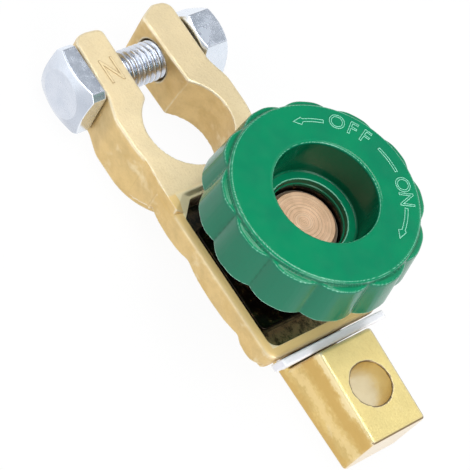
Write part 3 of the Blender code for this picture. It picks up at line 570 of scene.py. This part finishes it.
def knob_look():
    """Green plastic of the knob, with painted shade on the walls inside its well."""
    look, colour = plastic_look("green_plastic", **KNOB, rough=0.16, grain=0.05)
    # Painted shade: the walls of the well are painted a dark green
    well = look.step(look.from_axis(KNOB_X), WELL_RADIUS + 0.25 * MM, -0.2 * MM)
    well = look.both(well, look.step(look.axes()[Z_AXIS], KNOB_TOP - 0.5 * MM, -0.4 * MM))
    well = look.both(well, look.facing(Z_AXIS, 0.5, 0.2))
    look.set(Base_Color=look.mix(well, colour, (0.0, 0.085, 0.035)))
    return look.material


def turned_look():
    """Copper end with rings left by the lathe and a painted highlight round its chamfer."""
    look = Look("turned_copper")
    radius = look.from_axis(KNOB_X)
    ring_place = look.add("ShaderNodeCombineXYZ", {0: radius}).outputs[0]
    rings = look.noise(6500, 2, 0.6, where=ring_place)
    wide = look.noise(1100, 2, 0.6, where=ring_place)
    cloud = look.ramp(look.noise(260, 3, 0.6), 0.35, 0.7)
    colour = look.mix(cloud, (0.95, 0.65, 0.43), (0.76, 0.50, 0.31))
    colour = look.mix(look.ramp(rings, 0.48, 0.66, 0.0, 0.75), colour, (0.40, 0.21, 0.11))
    colour = look.mix(look.ramp(wide, 0.5, 0.65, 0.0, 0.2), colour, (1.0, 0.84, 0.66))
    # Painted highlight: a pale band round the stud's chamfer
    rim = look.step(radius, STUD_RADIUS - 0.35 * MM, 0.3 * MM)
    colour = look.mix(rim, colour, (1.0, 0.86, 0.68))
    look.set(Base_Color=colour, Metallic=0.8, Roughness=0.5, Normal=look.bump(rings, 0.10 * MM, 0.5))
    return look.material


def shadowed_copper_look():
    """Contact plate: copper painted nearly black as the shadow under the knob, with brown mottles and
    streaks as painted reflections, and a wet gloss.
    """
    look = Look("dark_copper")
    mottle = look.ramp(look.noise(650, 5, 0.72), 0.5, 0.75)
    streak = look.ramp(look.noise(500, 3, 0.6, stretch=(0.15, 1.0, 1.0)), 0.55, 0.8, 0.0, 0.5)
    # Painted shadow, with brown mottles and streaks as painted reflections
    colour = look.mix(mottle, (0.012, 0.008, 0.005), (0.16, 0.09, 0.035))
    colour = look.mix(streak, colour, (0.09, 0.055, 0.02))
    look.set(Base_Color=colour, Metallic=0.8, Roughness=look.ramp(mottle, 0, 1, 0.2, 0.34),
             Normal=look.bump(look.noise(900, 3), 0.10 * MM, 0.3))
    return look.material


CAST = casting_look()
MILLED = milled_look()
PLATED = plated_look()
RIVET = rivet_look()
GREEN = knob_look()
WHITE = plastic_look("white_plastic", **INSULATOR, rough=0.40, grain=0.2)[0].material
COPPER = turned_look()
DARK = shadowed_copper_look()


def wear(obj, material):
    """Give a new object its one material."""
    obj.data.materials.clear()
    obj.data.materials.append(material)
    return obj


def dress(node, material):
    """Give a CAD node that stays in view a new material."""
    for place in nodes[node].material_slots:
        place.material = material


# Soft-edged copies of the CAD solids, with their voxel sizes in millimetres and passes
for node, body, slot, voxel, passes, material in (
        ("clamp_body", "switch_base", "cast_brass", 0.20, 2, CAST),
        ("terminal_lug", "switch_base", "lug_brass", 0.18, 2, MILLED),
        ("insulator_plate", "switch_base", "white_plastic", 0.18, 2, WHITE),
        ("clamp_nut", "nut", "plated_steel", 0.14, 2, PLATED),
        ("knob", "knob", "green_plastic", 0.18, 1, GREEN),
        # The contact plate wears the copper painted dark as the shadow under the knob
        ("contact_plate", "contact", "dark_copper", 0.20, 2, DARK)):
    wear(soft_copy(node, body, voxel * MM, passes), material)

# CAD nodes that stay in view
# The contact nut wears the copper painted dark, as painted shade in the gap round the stud
for node, material in (("contact_stud", COPPER), ("contact_nut", DARK), ("stud_bush", WHITE),
                       ("retaining_ring", RIVET), ("near_rivet", RIVET), ("near_rivet_sleeve", WHITE),
                       ("far_rivet", RIVET), ("far_rivet_sleeve", WHITE)):
    dress(node, material)


# Clamp bolt: square head with a turned chamfer, and a rolled thread along the shank
def bolt_head():
    half = HEAD_ACROSS / 2
    square = [(-half, -half), (half, -half), (half, half), (-half, half)]
    head = prism("clamp_bolt_head", square, 0.0, HEAD_THICKNESS)
    drop = (HEAD_CORNER_RADIUS - HEAD_FLAT_RADIUS) * math.tan(HEAD_CHAMFER)
    cone = turned_solid("head_cone", [(0, -MM), (HEAD_CORNER_RADIUS, -MM),
                                      (HEAD_CORNER_RADIUS, HEAD_THICKNESS - drop),
                                      (HEAD_FLAT_RADIUS, HEAD_THICKNESS), (0, HEAD_THICKNESS)])
    trim = head.modifiers.new("cone", "BOOLEAN")
    trim.operation = "INTERSECT"
    trim.solver = "EXACT"
    trim.object = cone
    baked(head)
    bpy.data.objects.remove(cone, do_unlink=True)
    soften(head, HEAD_VOXEL, 2)
    place = Matrix.Translation((BOLT_X, HEAD_END_Y + HEAD_THICKNESS, BOLT_Z))
    head.data.transform(place @ Matrix.Rotation(math.pi / 2, 4, "X"))
    return head


def thread(name, start_y, end_y):
    """Right-handed thread along Y: the radius follows the turn and the travel."""
    around = 72
    rows_per_pitch = 12
    flank_slope = 1.35
    root_share = 0.1
    rows = int((end_y - start_y) / THREAD_PITCH * rows_per_pitch)
    work = bmesh.new()
    grid = []
    for r in range(rows + 1):
        y = start_y + (end_y - start_y) * r / rows
        full = min(1.0, (end_y - y) / TIP_TAPER_LENGTH)
        ring = []
        for k in range(around):
            angle = 2 * math.pi * k / around
            phase = (y / THREAD_PITCH - angle / (2 * math.pi)) % 1.0
            rise = abs(2 * phase - 1)
            depth = THREAD_DEPTH * (1 - min(1.0, max(0.0, rise * flank_slope - root_share)))
            taper = (1 - full) * TIP_TAPER_DEPTH * (1 - depth / THREAD_DEPTH)
            radius = THREAD_RADIUS - THREAD_SLACK - depth - taper
            ring.append(work.verts.new((BOLT_X + radius * math.sin(angle), y,
                                        BOLT_Z + radius * math.cos(angle))))
        grid.append(ring)
    for lower, upper in zip(grid[:-1], grid[1:]):
        bridge(work, lower, upper)
    work.faces.new(grid[0])
    work.faces.new(list(reversed(grid[-1])))
    made = finished(work, name)
    made.data.shade_smooth()
    mark_edges(made.data, THREAD_VOXEL)
    return made


head = wear(bolt_head(), PLATED)
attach(head, "bolt")
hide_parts("clamp_bolt")
shank = thread("clamp_bolt_thread", HEAD_END_Y + HEAD_THICKNESS - THREAD_START, BOLT_END_Y)
wear(shank, PLATED)
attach(shank, "bolt")


# Lining of the knob's hub, round the end of the stud, in the well's shade, which is painted on it all
# over as a darker green
def hub_lining():
    dark_share = 0.6
    foot = NUT_TOP + 0.05 * MM
    made = turned_ring("hub_lining", [(LINING_INNER, foot), (LINING_OUTER, foot),
                                      (LINING_OUTER, NUT_TOP + 1.0 * MM),
                                      (LINING_INNER, NUT_TOP + 0.7 * MM)])
    made.data.transform(Matrix.Translation((KNOB_X, 0, 0)))
    # Painted shade: every vertex gets the same share of the darker hollow colour
    layer = made.data.attributes.new("hollow_shade", "FLOAT", "POINT")
    layer.data.foreach_set("value", [dark_share] * len(made.data.vertices))
    bevel = made.modifiers.new("edges", "BEVEL")
    bevel.width = 0.08 * MM
    bevel.segments = 2
    bevel.limit_method = "ANGLE"
    bevel.angle_limit = math.radians(30)
    bevel.harden_normals = True
    made.data.shade_smooth()
    return made


lining = wear(hub_lining(), GREEN)
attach(lining, "knob")


# Raised marks: OFF and ON with their arrows and the line between them on the knob
def on_face(radius, degrees):
    """Place on the knob's face, by its distance and turn from the axis."""
    angle = math.radians(degrees)
    return KNOB_X + radius * math.cos(angle), radius * math.sin(angle)


def outline_curve(name, points):
    """Closed flat curve through points."""
    curve = bpy.data.curves.new(name, "CURVE")
    curve.dimensions = "2D"
    spline = curve.splines.new("POLY")
    spline.points.add(len(points) - 1)
    for point, (x, y) in zip(spline.points, points):
        point.co = (x, y, 0, 1)
    spline.use_cyclic_u = True
    return curve


def letter_curve(text, size):
    """Letter centred on its own place."""
    curve = bpy.data.curves.new("letter_" + text.lower(), "FONT")
    curve.body = text
    curve.size = size
    curve.align_x = "CENTER"
    curve.align_y = "CENTER"
    curve.resolution_u = 6
    return curve


def mark(name, curve, place, body, material, outline="ridge", strength=1.0):
    """Raised mark: a low solid of the curve with a fine bead round its outline, painted lighter as a
    highlight or darker as shade.
    """
    work = bmesh.new()
    counts = []
    for bead in (False, True):
        curve.fill_mode = "NONE" if bead else "BOTH"
        curve.extrude = 0.0 if bead else MARK_RISE
        curve.bevel_depth = MARK_BEAD if bead else 0.0
        curve.bevel_resolution = 2
        guide = new_object(name + "_guide", curve)
        mesh = evaluated_mesh(guide)
        bpy.data.objects.remove(guide, do_unlink=True)
        if bead:
            mesh.transform(Matrix.Translation((0, 0, MARK_RISE - 0.3 * MARK_BEAD)))
        work.from_mesh(mesh)
        counts.append(len(work.verts))
    # The bead's vertices carry the outline attribute, which the material paints as a highlight (ridge)
    # or as shade (hollow)
    layer = work.verts.layers.float.new(outline)
    for i, vert in enumerate(work.verts):
        vert[layer] = strength if i >= counts[0] else 0.0
    made = wear(finished(work, name), material)
    made.data.transform(place)
    made.data.shade_smooth()
    made.data.set_sharp_from_angle(angle=math.radians(50))
    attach(made, body)


def knob_mark(name, curve, place=Matrix.Translation((0, 0, KNOB_TOP))):
    """Mark in the knob's own plastic, on its face."""
    mark(name, curve, place, "knob", GREEN)


def face_letter(word, text, degrees):
    """One letter of a word, upright to the knob's rim."""
    place = Matrix.Translation((*on_face(LETTER_RADIUS, degrees), KNOB_TOP))
    place = place @ Matrix.Rotation(math.radians(degrees - 90), 4, "Z")
    knob_mark("%s_%s_%d" % (word, text.lower(), degrees), letter_curve(text, LETTER_SIZE), place)


def arrow(name, radius, tail, tip):
    """Curved arrow along a circle: a slim shaft and a barbed head."""
    head_turn = 7.5
    half_shaft = 0.30 * MM
    steps = 8
    way = math.copysign(1.0, tip - tail)
    neck = tip - way * head_turn
    turns = [tail + (neck - tail) * i / steps for i in range(steps + 1)]
    outer_side = [on_face(radius + half_shaft, turn) for turn in turns]
    inner_side = [on_face(radius - half_shaft, turn) for turn in turns]
    barbs = [on_face(radius + 0.62 * MM, neck + way * 1.0), on_face(radius, tip),
             on_face(radius - 0.85 * MM, neck + way * 1.8)]
    knob_mark(name, outline_curve(name, outer_side + barbs + inner_side[::-1]))


def line_between(name, start, end, inner, outer):
    """Curved line between two turns on the face."""
    steps = 8
    turns = [start + (end - start) * i / steps for i in range(steps + 1)]
    points = [on_face(outer, turn) for turn in turns]
    points += [on_face(inner, turn) for turn in reversed(turns)]
    knob_mark(name, outline_curve(name, points))


for word, text, degrees in (("off", "O", 136.5), ("off", "F", 125.0), ("off", "F", 115.0),
                            ("on", "O", 72.5), ("on", "N", 61.0)):
    face_letter(word, text, degrees)
arrow("off_arrow", 14.5 * MM, 146.5, 170.0)
arrow("on_arrow", 15.0 * MM, 54.0, 28.5)
line_between("mark_line", 102.8, 82.8, 14.92 * MM, 15.38 * MM)

# Polarity letter on the near ear, N for the negative post, with its bead outline painted darker as
# shade
ear_place = Matrix.Translation(POLARITY_PLACE) @ Matrix.Rotation(math.radians(90), 4, "Z")
ear_place = ear_place @ Matrix.Diagonal((POLARITY_WIDTH, 1.0, 1.0, 1.0))
mark("polarity_mark", letter_curve("N", POLARITY_SIZE), ear_place, "switch_base", CAST,
     "hollow_shade", 0.6)


# Floor, light and camera
def floor():
    """White floor that looks plain to the camera and keeps a faint shadow."""
    bpy.ops.mesh.primitive_plane_add(size=6.0, location=(0, 0, -0.3 * MM))
    made = bpy.context.object
    made.name = "floor"
    look = Look("floor_white")
    path = look.add("ShaderNodeLightPath").outputs
    seen = look.either(path["Is Camera Ray"], path["Is Glossy Ray"])
    seen = look.either(seen, path["Is Transmission Ray"])
    bounce = look.mix(look.ramp(look.noise(4, 2), 0.3, 0.7), (0.60, 0.60, 0.60), (0.62, 0.62, 0.62))
    colour = look.mix(seen, bounce, (0.97, 0.97, 0.97))
    look.set(Base_Color=colour, Roughness=0.8, Specular_IOR_Level=0.0)
    white = look.add("ShaderNodeEmission", {"Color": (1, 1, 1, 1), "Strength": 1.0})
    blend = look.add("ShaderNodeMixShader", {0: look.both(seen, 0.94)})
    look.tree.links.new(look.shader.outputs[0], blend.inputs[1])
    look.tree.links.new(white.outputs[0], blend.inputs[2])
    output = look.tree.nodes["Material Output"]
    look.tree.links.new(blend.outputs[0], output.inputs["Surface"])
    wear(made, look.material)


def lamp(name, place, size, power):
    """Round lamp that points at the origin."""
    light = bpy.data.lights.new(name, "AREA")
    light.shape = "DISK"
    light.size = size
    light.energy = power
    made = new_object(name, light)
    made.location = place
    made.rotation_mode = "QUATERNION"
    made.rotation_quaternion = (-Vector(place)).to_track_quat("-Z", "Y")


def world():
    """Studio that is bright near the horizon and dark above, and dimmer behind the object."""
    made = bpy.data.worlds.new("studio")
    made.use_nodes = True
    bpy.context.scene.world = made
    tree = made.node_tree
    where = tree.nodes.new("ShaderNodeTexCoord")
    split = tree.nodes.new("ShaderNodeSeparateXYZ")
    strength = tree.nodes.new("ShaderNodeMapRange")
    for key, value in (("From Min", 0.0), ("From Max", 0.55), ("To Min", 1.0), ("To Max", 0.65)):
        strength.inputs[key].default_value = value
    ramp = tree.nodes.new("ShaderNodeValToRGB")
    stops = ramp.color_ramp.elements
    stops[0].position = 0.0
    stops[0].color = (0.90, 0.90, 0.92, 1)
    stops[1].position = 1.0
    stops[1].color = (0.36, 0.38, 0.42, 1)
    stops.new(0.30).color = (0.74, 0.75, 0.78, 1)
    stops.new(0.65).color = (0.34, 0.36, 0.40, 1)
    background = tree.nodes["Background"]
    tree.links.new(where.outputs["Generated"], split.inputs[0])
    tree.links.new(split.outputs[Z_AXIS], ramp.inputs[0])
    tree.links.new(ramp.outputs[0], background.inputs["Color"])
    tree.links.new(split.outputs[Y_AXIS], strength.inputs["Value"])
    tree.links.new(strength.outputs[0], background.inputs["Strength"])


def camera():
    """Camera at the photograph's place, fitted to its outline."""
    lens = bpy.data.cameras.new("photo_camera")
    lens.lens = 160.1
    lens.sensor_width = 36.0
    lens.clip_start = 0.01
    made = new_object("photo_camera", lens)
    turn, tilt, roll = (math.radians(d) for d in (24.5, 52.7, 36.08))
    flat = math.cos(tilt)
    ahead = Vector((-math.sin(turn) * flat, math.cos(turn) * flat, -math.sin(tilt)))
    level = Vector((math.cos(turn), math.sin(turn), 0))
    right = level * math.cos(roll) + level.cross(ahead) * math.sin(roll)
    rows = Matrix((right, right.cross(ahead), -ahead)).transposed().to_4x4()
    rows.translation = (0.096534, -0.2142, 0.3131)
    made.matrix_world = rows
    bpy.context.scene.camera = made


floor()
world()
for name, place, size, power in (("key_light", (-0.13, 0.09, 0.60), 0.30, 1.1),
                                 ("right_key_light", (0.13, 0.04, 0.60), 0.30, 0.95),
                                 ("side_light", (0.50, -0.16, 0.33), 0.40, 1.5),
                                 ("front_light", (-0.28, -0.48, 0.22), 0.50, 0.65),
                                 ("back_light", (0.10, 0.60, 0.45), 0.60, 0.4)):
    lamp(name, place, size, power)
camera()
bpy.context.scene.view_settings.view_transform = "Standard"
